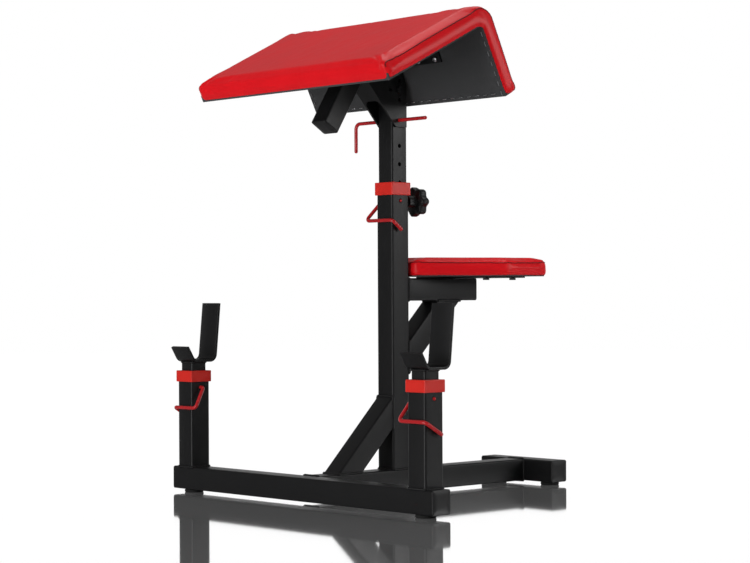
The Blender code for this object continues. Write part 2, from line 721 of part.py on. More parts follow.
def pivot_bolt(half, parent):
    """The bolt that the head tilts on, with its nut."""
    y, z = PIVOT
    start = half + GAP
    bolt("pivot_bolt", steel("pivot_bolt"), PIVOT_HEAD, (PIVOT_R, 2 * start + PIVOT_NUT_DEPTH + 0.002),
         (start, y, z), (-1, 0, 0), parent)
    bm = bmesh.new()
    add_rod(bm, PIVOT_HEAD[0], (-start, y, z), (-start - PIVOT_NUT_DEPTH, y, z), 6)
    nut = add("pivot_nut", bm, steel("pivot_nut"), parent)
    drill(nut, PIVOT_R + GAP, [(-start, y, z)], (1, 0, 0), 0.05, 24)


def l_pin(slide, swing):
    """The bent pin that locks the head: its handle side, and its tip beyond the mast."""
    y, z = PIVOT[0], L_PIN_Z
    inner = MAST / 2 + 2 * GAP
    wire("l_pin", ((-inner, y, z), (-L_PIN_REACH, y, z), (-L_PIN_REACH, y, z - L_PIN_LEG)),
         L_PIN_BEND, swing)
    bm = bmesh.new()
    add_rod(bm, PIN_R, (inner, y, z), (L_PIN_REACH, y, z), 12)
    bevel(add("l_pin_tip", bm, red_plastic("l_pin_tip"), slide), 0.001, 1, 60)


def hook_profile(y):
    """Middle line of the J strip, from the lip's top to the back's top, as (Y, Z)."""
    half = HOOK_PLATE / 2
    floor = HOOK_SEAT_Z + GAP + half
    back_run = (HOOK_BACK_TOP - floor) * math.tan(HOOK_BACK_LEAN)
    back_foot = HOOK_BACK_Y - half
    lip_top = (-HOOK_LIP_Y + half, HOOK_LIP_Z)
    lip_foot = (-HOOK_LIP_Y + half + 0.018, floor)
    points = [(0, *lip_top), (0, *lip_foot), (0, back_foot, floor),
              (0, back_foot + back_run, HOOK_BACK_TOP)]
    return [(y + p.y, p.z) for p in filleted(points, HOOK_BEND_R - half, 5)]


def hook(name, x, parent):
    """A wide J-shaped strip that carries the bar."""
    bm = bmesh.new()
    low, high = x - HOOK_WIDTH / 2, x + HOOK_WIDTH / 2
    rows = [[bm.verts.new((side, y, z)) for side in (low, high)]
            for y, z in hook_profile(BEAM_Y)]
    for before, after in zip(rows, rows[1:]):
        bm.faces.new((before[0], before[1], after[1], after[0]))
    strip = add(name, bm, steel(name), parent)
    modifier = strip.modifiers.new("plate", "SOLIDIFY")
    modifier.thickness = HOOK_PLATE
    modifier.offset = 0
    modifier.use_even_offset = True


def upright(side, label):
    """One hook post: outer tube, collar, sliding tube, hook and pin."""
    x = side * UPRIGHT_X
    outer = square_tube(label + "_upright", TUBE, UPRIGHT_WALL, (x, BEAM_Y, BEAM_TOP + GAP),
                        (x, BEAM_Y, UPRIGHT_TOP), steel(label + "_upright"))
    drill(outer, PIN_R + PIN_PLAY, [(x, BEAM_Y, HOOK_PIN_Z)], (1, 0, 0), TUBE + 0.02)
    collar(label + "_collar", x, BEAM_Y, TUBE, UPRIGHT_TOP, HOOK_TUBE, UPRIGHT_COLLAR)

    slide = axis_empty(label + "_hook_slide_axis", (x, BEAM_Y, HOOK_PIN_Z))
    inner = square_tube(label + "_hook_tube", HOOK_TUBE, HOOK_TUBE_WALL,
                        (x, BEAM_Y, HOOK_TUBE_BOTTOM), (x, BEAM_Y, HOOK_SEAT_Z),
                        steel(label + "_hook_tube"), slide)
    holes = [(x, BEAM_Y, HOOK_PIN_Z + step * HOLE_PITCH) for step in HOOK_HOLES]
    drill(inner, PIN_R + PIN_PLAY, holes, (1, 0, 0), HOOK_TUBE + 0.02)
    hook(label + "_hook", x, slide)

    swing = axis_empty(label + "_pin_axis", (x, BEAM_Y, HOOK_PIN_Z))
    clip_pin(label + "_hook_pin", (x, BEAM_Y, HOOK_PIN_Z), -side, HOOK_TUBE / 2 + 0.001,
             HOOK_CLIP, swing)


def centre_on_origin():
    """Move the bench along Y until the middle of its floor plan is at the origin."""
    bpy.context.view_layer.update()
    graph = bpy.context.evaluated_depsgraph_get()
    reach = []
    for obj in PARTS.objects:
        if obj.type != "EMPTY":
            shape = obj.evaluated_get(graph)
            reach += [(shape.matrix_world @ vert.co).y for vert in shape.to_mesh().vertices]
            shape.to_mesh_clear()
    shift = Matrix.Translation((0, -(min(reach) + max(reach)) / 2, 0))
    for obj in bpy.data.objects:
        if not obj.parent:
            obj.matrix_world = shift @ obj.matrix_world


def main():
    start()
    base()
    post()
    seat()
    collar("mast_collar", 0, 0, TUBE, POST_TOP, MAST, POST_COLLAR)
    slide = axis_empty("mast_slide_axis", (0, 0, MAST_PIN_Z))
    mast(slide)
    tilt = axis_empty("pad_tilt_axis", (0, *PIVOT), slide)
    pad(tilt)
    pad_bracket(tilt)
    half = fork(tilt)
    pivot_bolt(half, tilt)
    draw = axis_empty("l_pin_slide_axis", (0, PIVOT[0], L_PIN_Z), tilt)
    l_pin(draw, axis_empty("l_pin_swing_axis", (0, PIVOT[0], L_PIN_Z), draw))
    swing = axis_empty("mast_pin_axis", (0, 0, MAST_PIN_Z))
    clip_pin("mast_pin", (0, 0, MAST_PIN_Z), -1, MAST / 2 + 2 * GAP, MAST_CLIP, swing)
    feed = axis_empty("knob_feed_axis", (0, HALF, KNOB_Z))
    star_knob(feed, axis_empty("knob_turn_axis", (0, HALF, KNOB_Z), feed))
    for side, label in ((-1, "left"), (1, "right")):
        upright(side, label)
    centre_on_origin()


main()
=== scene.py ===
"""Looks of an arm-curl bench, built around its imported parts. Metres, +Z up."""
import json
import math

import bmesh
import bpy
import numpy as np
from mathutils import Matrix, Vector
from mathutils.bvhtree import BVHTree


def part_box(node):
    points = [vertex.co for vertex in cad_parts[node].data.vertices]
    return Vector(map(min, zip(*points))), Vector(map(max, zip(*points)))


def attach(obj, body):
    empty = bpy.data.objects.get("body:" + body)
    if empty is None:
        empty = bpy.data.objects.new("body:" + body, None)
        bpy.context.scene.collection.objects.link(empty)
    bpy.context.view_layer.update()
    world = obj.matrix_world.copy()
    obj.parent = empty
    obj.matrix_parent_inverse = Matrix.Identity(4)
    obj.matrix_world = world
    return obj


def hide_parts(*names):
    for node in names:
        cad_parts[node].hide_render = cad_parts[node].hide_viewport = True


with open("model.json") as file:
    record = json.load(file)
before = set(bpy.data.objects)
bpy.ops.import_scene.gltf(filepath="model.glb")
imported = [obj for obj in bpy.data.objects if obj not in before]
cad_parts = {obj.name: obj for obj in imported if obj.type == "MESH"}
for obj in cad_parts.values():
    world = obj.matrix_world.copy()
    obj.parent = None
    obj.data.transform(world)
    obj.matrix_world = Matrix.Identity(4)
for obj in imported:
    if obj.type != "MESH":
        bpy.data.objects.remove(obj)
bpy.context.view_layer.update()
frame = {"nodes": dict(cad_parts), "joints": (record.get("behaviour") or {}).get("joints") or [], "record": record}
joints = {joint["name"]: joint for joint in frame["joints"]}
body_of_node = {node: body for body, nodes in frame["record"]["behaviour"]["bodies"].items()
                for node in nodes}

# --- Floor, backdrop, lamps and camera -------------------------------------
# A polished white floor that runs up to a curved white screen, with soft
# lamps round the bench. The floor is smooth enough to mirror the legs.

FLOOR_HALF = 30.0
SCREEN_RADIUS, SCREEN_HEIGHT, SCREEN_HALF_TURN = 11.0, 3.0, math.radians(60)
SURROUND = 0.22           # light that the surroundings give to the bench
FLOOR_MIRROR, FLOOR_GLOW = 0.93, 0.03
CAMERA_AT = (3.206, -3.086, 0.4395)
CAMERA_TURN = (90.0, -0.28, 47.22)
CAMERA_LENS = 96.3
CAMERA_SHIFT = (0.0, 0.0177)

scene = bpy.context.scene
scene.view_settings.view_transform = "Standard"


def add_node(tree, kind, inputs=None, **settings):
    """A shader node with its settings, and with values or links in its inputs."""
    made = tree.nodes.new(kind)
    for label, value in settings.items():
        setattr(made, label, value)
    for label, value in (inputs or {}).items():
        if isinstance(value, bpy.types.NodeSocket):
            tree.links.new(value, made.inputs[label])
        else:
            made.inputs[label].default_value = value
    return made


def new_material(name, roughness, metallic=0.0):
    """A Principled material, its node tree and its shader."""
    made = bpy.data.materials.new(name)
    made.use_nodes = True
    shader = made.node_tree.nodes["Principled BSDF"]
    shader.inputs["Roughness"].default_value = roughness
    shader.inputs["Metallic"].default_value = metallic
    return made, made.node_tree, shader


def mesh_object(name, points, faces):
    """A mesh from an array of points and lists of corner numbers, facing outwards."""
    mesh = bpy.data.meshes.new(name)
    mesh.from_pydata(np.asarray(points, float).reshape(-1, 3).tolist(), [], faces)
    work = bmesh.new()
    work.from_mesh(mesh)
    bmesh.ops.recalc_face_normals(work, faces=work.faces)
    work.to_mesh(mesh)
    work.free()
    made = bpy.data.objects.new(name, mesh)
    scene.collection.objects.link(made)
    return made


corners = FLOOR_HALF * np.array([(-1, -1, 0), (1, -1, 0), (1, 1, 0), (-1, 1, 0)])
floor = mesh_object("floor", corners, [(0, 1, 2, 3)])
floor_finish, tree, shader = new_material("polished_floor", 0.05)
place = add_node(tree, "ShaderNodeTexCoord").outputs["Object"]
dust = add_node(tree, "ShaderNodeTexNoise", {"Vector": place, "Scale": 1.5, "Detail": 4.0})
tone = add_node(tree, "ShaderNodeMix", {"Factor": dust.outputs["Fac"]}, data_type="RGBA")
tone.inputs["A"].default_value = (0.96, 0.96, 0.96, 1)
tone.inputs["B"].default_value = (0.99, 0.99, 0.99, 1)
tree.links.new(tone.outputs["Result"], shader.inputs["Base Color"])
shader.inputs["Metallic"].default_value = FLOOR_MIRROR
shader.inputs["Emission Color"].default_value = (1, 1, 1, 1)
seen = add_node(tree, "ShaderNodeMath", {0: add_node(tree, "ShaderNodeLightPath").outputs["Is Camera Ray"],
                                         1: FLOOR_GLOW}, operation="MULTIPLY")
tree.links.new(seen.outputs["Value"], shader.inputs["Emission Strength"])
floor.data.materials.append(floor_finish)


def white_when_seen(tree, rays):
    """A strength of one for some kinds of ray, and the surroundings' own level for the rest."""
    path = add_node(tree, "ShaderNodeLightPath")
    seen = path.outputs[rays[0]]
    for kind in rays[1:]:
        seen = add_node(tree, "ShaderNodeMath", {0: seen, 1: path.outputs[kind]},
                        operation="MAXIMUM").outputs["Value"]
    return add_node(tree, "ShaderNodeMapRange", {"Value": seen, "To Min": SURROUND,
                                                 "To Max": 1.0}).outputs["Result"]


world = bpy.data.worlds.new("surround")
scene.world = world
world.use_nodes = True
surround = world.node_tree.nodes["Background"]
surround.inputs["Color"].default_value = (1, 1, 1, 1)
strength = white_when_seen(world.node_tree, ["Is Camera Ray", "Is Transmission Ray"])
world.node_tree.links.new(strength, surround.inputs["Strength"])

away = math.radians(CAMERA_TURN[2] + 90)
turn = away + np.linspace(-SCREEN_HALF_TURN, SCREEN_HALF_TURN, 48)
wall = SCREEN_RADIUS * np.stack((np.cos(turn), np.sin(turn)), -1)
rows = np.stack([np.column_stack([wall, np.full(len(turn), z)]) for z in (0.0, SCREEN_HEIGHT)])
index = np.arange(2 * len(turn)).reshape(2, -1)
quads = np.stack([index[0, :-1], index[0, 1:], index[1, 1:], index[1, :-1]], -1)
screen = mesh_object("screen", rows, quads.tolist())
screen_finish, tree, shader = new_material("white_screen", 1.0)
shader.inputs["Base Color"].default_value = (0, 0, 0, 1)
shader.inputs["Specular IOR Level"].default_value = 0
shader.inputs["Emission Color"].default_value = (1, 1, 1, 1)
strength = white_when_seen(tree, ["Is Camera Ray", "Is Glossy Ray", "Is Transmission Ray"])
tree.links.new(strength, shader.inputs["Emission Strength"])
screen.data.materials.append(screen_finish)


def lamp(name, at, target, size, power):
    """A square area lamp that faces a point."""
    light = bpy.data.lights.new(name, "AREA")
    light.size = size
    light.energy = power
    made = bpy.data.objects.new(name, light)
    scene.collection.objects.link(made)
    made.location = at
    made.rotation_euler = (Vector(target) - Vector(at)).to_track_quat("-Z", "Y").to_euler()


lamp("front", (0.3, -3.6, 0.75), (0, 0, 0.6), 1.8, 62)
lamp("side", (3.2, 2.4, 1.5), (0, 0, 0.6), 1.4, 46)
lamp("top", (-0.2, 0.5, 3.6), (0, 0, 0.4), 2.4, 42)

camera = bpy.data.objects.new("camera", bpy.data.cameras.new("camera"))
scene.collection.objects.link(camera)
camera.location = CAMERA_AT
turn_x, roll, turn_z = (math.radians(angle) for angle in CAMERA_TURN)
aim = Matrix.Rotation(turn_z, 4, "Z") @ Matrix.Rotation(turn_x, 4, "X") @ Matrix.Rotation(roll, 4, "Z")
camera.rotation_euler = aim.to_euler()
camera.data.lens = CAMERA_LENS
camera.data.shift_x, camera.data.shift_y = CAMERA_SHIFT
scene.camera = camera

# --- Square steel tubes -----------------------------------------------------
# Cold-formed steel tube with rounded corners, sawn square or mitred, welded
# and powder coated in satin black. The mast and the hook tubes are punched.

TUBE_CORNER = 0.0042      # outer corner radius of the 50 mm tube
TUBE_WALL = 0.002
UPRIGHT_WALL = 0.0025
PIN_HOLE = 0.0046
STUD_HOLE = 0.0066
HOLE_PITCH = 0.040
MAST_HOLE_STEPS = range(-2, 5)
HOOK_HOLE_STEPS = range(-2, 1)
BRACKET_FACE = 0.0046     # from the pad frame's planes to the bracket's far face
TUBE_SIDE = 0.050
UP, AHEAD, ACROSS = np.array((0, 0, 1.0)), np.array((0, 1.0, 0)), np.array((1.0, 0, 0))
MAST_SIDE, HOOK_TUBE_SIDE = 0.045, 0.040
PIVOT_HOLE = 0.0053


def coated(name, colour, spread, roughness, grain, height, metallic=0.0, coat=0.0, patch=14.0,
           shine=0.25):
    """A finish whose colour drifts in soft patches, over a fine raised grain."""
    made, tree, shader = new_material(name, roughness, metallic)
    place = add_node(tree, "ShaderNodeTexCoord").outputs["Object"]
    drift = add_node(tree, "ShaderNodeTexNoise", {"Vector": place, "Scale": patch, "Detail": 6.0,
                                                  "Roughness": 0.6})
    tone = add_node(tree, "ShaderNodeMix", {"Factor": drift.outputs["Fac"]}, data_type="RGBA")
    tone.inputs["A"].default_value = (*(c * (1 - spread) for c in colour), 1)
    tone.inputs["B"].default_value = (*(c * (1 + spread) for c in colour), 1)
    tree.links.new(tone.outputs["Result"], shader.inputs["Base Color"])
    fine = add_node(tree, "ShaderNodeTexNoise", {"Vector": place, "Scale": 1 / grain, "Detail": 3.0})
    sheen = add_node(tree, "ShaderNodeMapRange", {"Value": drift.outputs["Fac"],
                                                  "To Min": roughness * 0.8,
                                                  "To Max": roughness * 1.25})
    tree.links.new(sheen.outputs["Result"], shader.inputs["Roughness"])
    raised = add_node(tree, "ShaderNodeBump", {"Height": fine.outputs["Fac"], "Strength": 0.8,
                                               "Distance": height})
    tree.links.new(raised.outputs["Normal"], shader.inputs["Normal"])
    shader.inputs["Coat Weight"].default_value = coat
    shader.inputs["Specular IOR Level"].default_value = shine
    return made


black_steel = coated("black_powder_coat", (0.0062, 0.0062, 0.0067), 0.20, 0.40, 0.0011, 0.00012)


def unit(vector):
    """Vectors made one long."""
    vector = np.asarray(vector, float)
    return vector / np.linalg.norm(vector, axis=-1, keepdims=True)


def rounded_rectangle(width, depth, radius, steps=6):
    """Four quarter circles, one round each corner of a rectangle, joined by its sides."""
    angle = np.arange(4)[:, None] * math.pi / 2 + np.linspace(0, math.pi / 2, steps + 1)
    right = np.array((1, -1, -1, 1))[:, None] * (width / 2 - radius)
    up = np.array((1, 1, -1, -1))[:, None] * (depth / 2 - radius)
    ring = (right + radius * np.cos(angle), up + radius * np.sin(angle))
    return np.stack(ring, -1).reshape(-1, 2)


def skin(name, rows, loop=False):
    """Quads between neighbouring rows of points, each row a closed ring.

    The first and last rings are closed by a flat face, or joined if loop is set.
    """
    rows = np.asarray(rows, float)
    index = np.arange(rows.shape[0] * rows.shape[1]).reshape(rows.shape[:2])
    upper = np.roll(index, -1, axis=0) if loop else index[1:]
    lower = index if loop else index[:-1]
    quads = np.stack([lower, np.roll(lower, -1, axis=1), np.roll(upper, -1, axis=1), upper], -1)
    faces = quads.reshape(-1, 4).tolist()
    if not loop:
        faces += [index[0][::-1].tolist(), index[-1].tolist()]
    return mesh_object(name, rows, faces)


def finished(piece, finish, node, sharp=35.0):
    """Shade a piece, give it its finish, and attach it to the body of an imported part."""
    piece.data.materials.append(finish)
    piece.data.polygons.foreach_set("use_smooth", [True] * len(piece.data.polygons))
    piece.data.set_sharp_from_angle(angle=math.radians(sharp))
    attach(piece, body_of_node[node])
    return piece


def settle(piece):
    """Apply a piece's modifiers, and remove the pieces that cut it."""
    cutters = [change.object for change in piece.modifiers if change.type == "BOOLEAN"]
    graph = bpy.context.evaluated_depsgraph_get()
    mesh = bpy.data.meshes.new_from_object(piece.evaluated_get(graph))
    piece.modifiers.clear()
    piece.data = mesh
    for cutter in cutters:
        bpy.data.objects.remove(cutter)


def drill(piece, radius, holes, axis, depth):
    """Round holes through a piece, each given by its middle."""
    angle = np.linspace(0, 2 * math.pi, 28, endpoint=False)[:, None]
    aside = unit(np.cross(axis, (0.3, 0.5, 0.8)))
    ring = radius * (np.cos(angle) * aside + np.sin(angle) * np.cross(axis, aside))
    for number, hole in enumerate(holes):
        ends = [np.array(hole) + ring + sign * depth / 2 * axis for sign in (-1, 1)]
        cutter = skin(piece.name + "_hole_%d" % number, ends)
        change = piece.modifiers.new("hole", "BOOLEAN")
        change.object = cutter
        change.solver = "EXACT"
    settle(piece)


def tube(name, start, end, side, wall, ends=(None, None), holes=()):
    """A square tube: its corners slide along its line until they meet the plane at each end."""
    start, end = np.array(start, float), np.array(end, float)
    along = unit(end - start)
    up = unit(np.cross(along, ACROSS)) if abs(along[0]) < 0.5 else AHEAD
    aside = np.cross(up, along)
    rings = []
    for inset in (0, wall):
        width = side - 2 * inset
        flat = rounded_rectangle(width, width, max(TUBE_CORNER - inset, 0.001))
        spread = flat[:, :1] * aside + flat[:, 1:] * up
        pair = []
        for point, normal in zip((start, end), ends):
            normal = along if normal is None else normal
            slide = -(spread @ normal) / (along @ normal)
            pair.append(point + spread + slide[:, None] * along)
        rings += pair if inset == 0 else pair[::-1]
    piece = skin(name + "_skin", rings, loop=True)
    for radius, centres, axis in holes:
        drill(piece, radius, centres, axis, side + 0.02 if axis is ACROSS else side)
    finished(piece, black_steel, name)
    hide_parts(name)
    return piece


def middle_line(node, axis):
    """Ends of a straight part's middle line, along one of the main axes."""
    low, high = (np.array(corner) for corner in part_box(node))
    ends = np.array(((low + high) / 2, (low + high) / 2))
    ends[:, axis] = low[axis], high[axis]
    return ends


post_y = joints["mast_pin_swing"]["pos_m"][1]
pin_height = joints["mast_pin_swing"]["pos_m"][2]
knob_height = joints["knob_turn"]["pos_m"][2]
pivot = np.array(joints["pad_tilt"]["pos_m"])
head_pin = np.array(joints["head_pin_swing"]["pos_m"])

for node, axis in (("front_beam", 0), ("rear_crossbar", 0), ("base_tube", 1), ("seat_arm", 1)):
    tube(node, *middle_line(node, axis), TUBE_SIDE, TUBE_WALL)
tube("main_post", *middle_line("main_post", 2), TUBE_SIDE, TUBE_WALL,
     holes=[(PIN_HOLE, [(0, post_y, pin_height)], ACROSS),
            (STUD_HOLE, [(0, post_y + TUBE_SIDE / 2, knob_height)], AHEAD)])
mast_low, mast_high = middle_line("mast", 2)
steps = [pin_height + step * HOLE_PITCH for step in MAST_HOLE_STEPS]
rows = [(0, post_y, height) for height in steps if abs(height - head_pin[2]) > HOLE_PITCH / 2]
tube("mast", mast_low, mast_high, MAST_SIDE, TUBE_WALL,
     holes=[(PIN_HOLE, rows + [tuple(head_pin)], ACROSS), (PIVOT_HOLE, [tuple(pivot)], ACROSS)])

slant = TUBE_SIDE * math.sqrt(2)
low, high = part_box("front_brace")
tube("front_brace", (0, low.y + slant / 2, low.z), (0, high.y, high.z - slant / 2), TUBE_SIDE,
     TUBE_WALL, (UP, AHEAD))
low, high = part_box("seat_brace")
tube("seat_brace", (0, low.y, low.z + slant / 2), (0, high.y - slant / 2, high.z), TUBE_SIDE,
     TUBE_WALL, (AHEAD, UP))

for label in ("left", "right"):
    x, y, z = joints[label + "_hook_pin_swing"]["pos_m"]
    tube(label + "_upright", *middle_line(label + "_upright", 2), TUBE_SIDE, UPRIGHT_WALL,
         holes=[(PIN_HOLE, [(x, y, z)], ACROSS)])
    tube(label + "_hook_tube", *middle_line(label + "_hook_tube", 2), HOOK_TUBE_SIDE, TUBE_WALL,
         holes=[(PIN_HOLE, [(x, y, z + step * HOLE_PITCH) for step in HOOK_HOLE_STEPS], ACROSS)])

# The arm under the pad is cut square at its foot and to the bracket's slope at its top
PAD_TILT = math.radians(26.5)
ARM_SLOPE = math.radians(31.5)
ARM_FOOT = (0.0, -0.241, -0.102)          # in the pad's own frame
CORNER_FROM_PIVOT = (0.0, -0.022, 0.111)  # inner corner of the V
ARM_SIDE = 0.045

pad_frame = Matrix.Translation(Vector(pivot) + Vector(CORNER_FROM_PIVOT))
pad_frame = pad_frame @ Matrix.Rotation(PAD_TILT, 4, "X")
pad_turn = np.array(pad_frame.to_3x3())
pad_origin = np.array(pad_frame.translation)


def on_pad(points):
    """Points in the pad's own frame, +Y up the long slab and -Z down the short one."""
    return np.asarray(points, float) @ pad_turn.T + pad_origin


arm_start = on_pad(ARM_FOOT)
arm_along = pad_turn @ (0, math.cos(ARM_SLOPE), math.sin(ARM_SLOPE))
arm_normal = pad_turn @ (0, 0, 1)
arm_length = (-BRACKET_FACE - ARM_FOOT[2]) / math.sin(ARM_SLOPE)
tube("pad_arm", arm_start, arm_start + arm_length * arm_along, ARM_SIDE, TUBE_WALL,
     (None, arm_normal))

# --- Weld beads --------------------------------------------------------------
# Run by hand round each joint of the frame, then coated over with it: a low
# rounded bead with the ripple of the torch's steps.

BEAD = 0.0032             # radius, about half of it above the steel
RIPPLE = 0.0034           # length of one step
RIPPLE_DEPTH = 0.16

SKEWED = ACROSS + AHEAD + UP    # up side of a bead that never runs along itself

weld_coat = coated("coated_weld", (0.0062, 0.0062, 0.0067), 0.25, 0.42, 0.0008, 0.00012)


def swept(route, profile, up, scale=None, loop=False):
    """Rows of a flat profile carried along a route and square to it, with its up side given."""
    if loop:
        ahead = unit(np.roll(route, -1, axis=0) - np.roll(route, 1, axis=0))
    else:
        ahead = unit(np.gradient(route, axis=0))
    first = unit(up - (ahead @ up)[:, None] * ahead)
    second = np.cross(ahead, first)
    scale = np.ones(len(route)) if scale is None else scale
    return (route[:, None] + scale[:, None, None]
            * (profile[None, :, :1] * first[:, None] + profile[None, :, 1:] * second[:, None]))


def circle(radius, sides):
    """Points at equal angles round the origin."""
    angle = np.linspace(0, 2 * math.pi, sides, endpoint=False)
    return radius * np.stack((np.cos(angle), np.sin(angle)), -1)


def even(route, spacing, loop=False):
    """The same route with its points a set distance apart."""
    route = np.vstack([route, route[:1]]) if loop else np.asarray(route, float)
    run = np.concatenate([[0], np.cumsum(np.linalg.norm(np.diff(route, axis=0), axis=1))])
    count = max(3, int(run[-1] / spacing))
    at = np.linspace(0, run[-1], count, endpoint=not loop)
    return np.stack([np.interp(at, run, route[:, i]) for i in range(3)], -1)


def weld(name, route, body, up=SKEWED, loop=True, size=BEAD):
    """A bead along a route: its radius swells and sinks once for each step of the torch."""
    route = even(route, RIPPLE / 5, loop)
    step = np.arange(len(route)) / 5
    wave = 1 - RIPPLE_DEPTH * np.abs(np.sin(math.pi * step)) + 0.05 * np.sin(0.37 * step + 1)
    if not loop:
        ends = np.minimum(np.arange(len(route)), np.arange(len(route))[::-1]) / 4
        wave = wave * np.sqrt(np.clip(ends, 0.05, 1))
    bead = skin(name, swept(route, circle(size, 8), np.array(up), wave, loop), loop)
    bead.data.materials.append(weld_coat)
    bead.data.polygons.foreach_set("use_smooth", [True] * len(bead.data.polygons))
    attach(bead, body)
    return bead


def joint_ring(centre, first, second, width, depth):
    """A rounded rectangle round a tube's end, in the plane of two directions."""
    flat = rounded_rectangle(width, depth, TUBE_CORNER)
    return np.array(centre) + flat[:, :1] * unit(first) + flat[:, 1:] * unit(second)


low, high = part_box("main_post")
weld("post_weld", joint_ring((0, post_y, low.z), ACROSS, AHEAD, TUBE_SIDE, TUBE_SIDE), "frame")
low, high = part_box("base_tube")
for name, y in (("beam_weld", low.y), ("crossbar_weld", high.y)):
    middle = (0, y, (low.z + high.z) / 2)
    weld(name, joint_ring(middle, ACROSS, UP, TUBE_SIDE, TUBE_SIDE), "frame")
low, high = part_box("seat_arm")
weld("seat_arm_weld", joint_ring((0, low.y, (low.z + high.z) / 2), ACROSS, UP, TUBE_SIDE, TUBE_SIDE),
     "frame")
low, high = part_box("front_brace")
weld("brace_foot_weld", joint_ring((0, low.y + slant / 2, low.z), ACROSS, AHEAD, TUBE_SIDE, slant),
     "frame")
weld("brace_top_weld", joint_ring((0, high.y, high.z - slant / 2), ACROSS, UP, TUBE_SIDE, slant),
     "frame")
low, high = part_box("seat_brace")
weld("seat_brace_foot_weld", joint_ring((0, low.y, low.z + slant / 2), ACROSS, UP, TUBE_SIDE, slant),
     "frame")
weld("seat_brace_top_weld", joint_ring((0, high.y - slant / 2, high.z), ACROSS, AHEAD, TUBE_SIDE, slant),
     "frame")
for label in ("left", "right"):
    low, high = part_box(label + "_upright")
    centre = ((low.x + high.x) / 2, (low.y + high.y) / 2, low.z)
    weld(label + "_upright_weld", joint_ring(centre, ACROSS, AHEAD, TUBE_SIDE, TUBE_SIDE), "frame")
    low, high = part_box(label + "_hook_tube")
    centre = ((low.x + high.x) / 2, (low.y + high.y) / 2, high.z)
    weld(label + "_hook_weld", joint_ring(centre, ACROSS, AHEAD, high.x - low.x, high.x - low.x),
         body_of_node[label + "_hook"], size=0.0026)
arm_top = arm_start + arm_length * arm_along
arm_up = pad_turn @ (0, 1, 0)
weld("arm_weld", joint_ring(arm_top, ACROSS, arm_up, ARM_SIDE, ARM_SIDE / math.sin(ARM_SLOPE)),
     "pad_head", ACROSS + arm_up + arm_normal, size=0.0028)
low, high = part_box("seat_plate")
for side in (-1, 1):
    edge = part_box("seat_arm")[1].x * side
    run = [(edge, low.y + 0.006, low.z), (edge, high.y - 0.100, low.z)]
    weld("seat_plate_weld_" + ("left", "right")[side > 0], np.array(run), "frame", ACROSS, loop=False)

# --- End caps ----------------------------------------------------------------
# Moulded black plastic plugs pushed into the open tube ends. Each shows a
# thin crowned plate with rounded corners.

CAP_CROWN = 0.0010
CAP_GAP = 0.0003           # between a cap and its tube's end

black_plastic = coated("black_moulded_plastic", (0.009, 0.009, 0.0095), 0.15, 0.42, 0.0006, 0.00006)


def end_cap(node, place, outward, up, side):
    """Rounded squares stacked from the tube's end: full size, then shrinking over a round edge."""
    outward, up = unit(outward), unit(up)
    aside = np.cross(up, outward)
    sizes = ((0.0, side - 0.0006), (0.0016, side), (0.0026, side - 0.0010), (0.0032, side - 0.004),
             (0.0032 + CAP_CROWN, side * 0.45))
    plug = ((-0.010, side - 0.0062), (-0.0003, side - 0.0052))
    rows = []
    for lift, width in plug + sizes:
        flat = rounded_rectangle(width, width, min(TUBE_CORNER, width / 3))
        rows.append(place + flat[:, :1] * aside + flat[:, 1:] * up + lift * outward)
    piece = finished(skin(node + "_moulding", rows), black_plastic, node)
    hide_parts(node)


for node, host, axis, side in (("left_beam_cap", "front_beam", 0, -1),
                               ("right_beam_cap", "front_beam", 0, 1),
                               ("left_crossbar_cap", "rear_crossbar", 0, -1),
                               ("right_crossbar_cap", "rear_crossbar", 0, 1),
                               ("seat_arm_cap", "seat_arm", 1, 1)):
    ends = middle_line(host, axis)
    outward = side * np.eye(3)[axis]
    end_cap(node, ends[int(side > 0)] + CAP_GAP * outward, outward, UP, TUBE_SIDE)
end_cap("pad_arm_cap", arm_start - CAP_GAP * arm_along, -arm_along, np.cross(arm_along, ACROSS), ARM_SIDE)

# --- Bar hooks ---------------------------------------------------------------
# A strip of 60 x 6 mm steel bent to a J: a short lip, a floor and a tall back
# that leans outwards. Its edges are broken before it is coated.

HOOK_WIDTH, HOOK_PLATE = 0.060, 0.006
HOOK_BEND = 0.015         # middle radius of both bends
HOOK_LEAN = math.radians(5.5)
HOOK_LIP = (-0.038, 0.0307)   # top of the lip's middle line, from the floor's middle
HOOK_LIP_FOOT = -0.020
HOOK_BACK = 0.039


def bent(points, radius, steps=8):
    """A route through corners, with each corner rounded by an arc that touches both its sides."""
    route = [points[0]]
    for before, corner, after in zip(points, points[1:], points[2:]):
        before, corner, after = (np.array(p, float) for p in (before, corner, after))
        back, ahead = unit(before - corner), unit(after - corner)
        half = math.acos(np.clip(back @ ahead, -1, 1)) / 2
        centre = corner + unit(back + ahead) * radius / math.sin(half)
        first, last = (corner + arm * radius / math.tan(half) - centre for arm in (back, ahead))
        sweep = math.pi - 2 * half
        share = np.linspace(0, 1, steps + 1)[:, None]
        arc = (first * np.sin((1 - share) * sweep) + last * np.sin(share * sweep)) / math.sin(sweep)
        route += list(centre + arc)
    route.append(points[-1])
    return np.array(route, float)


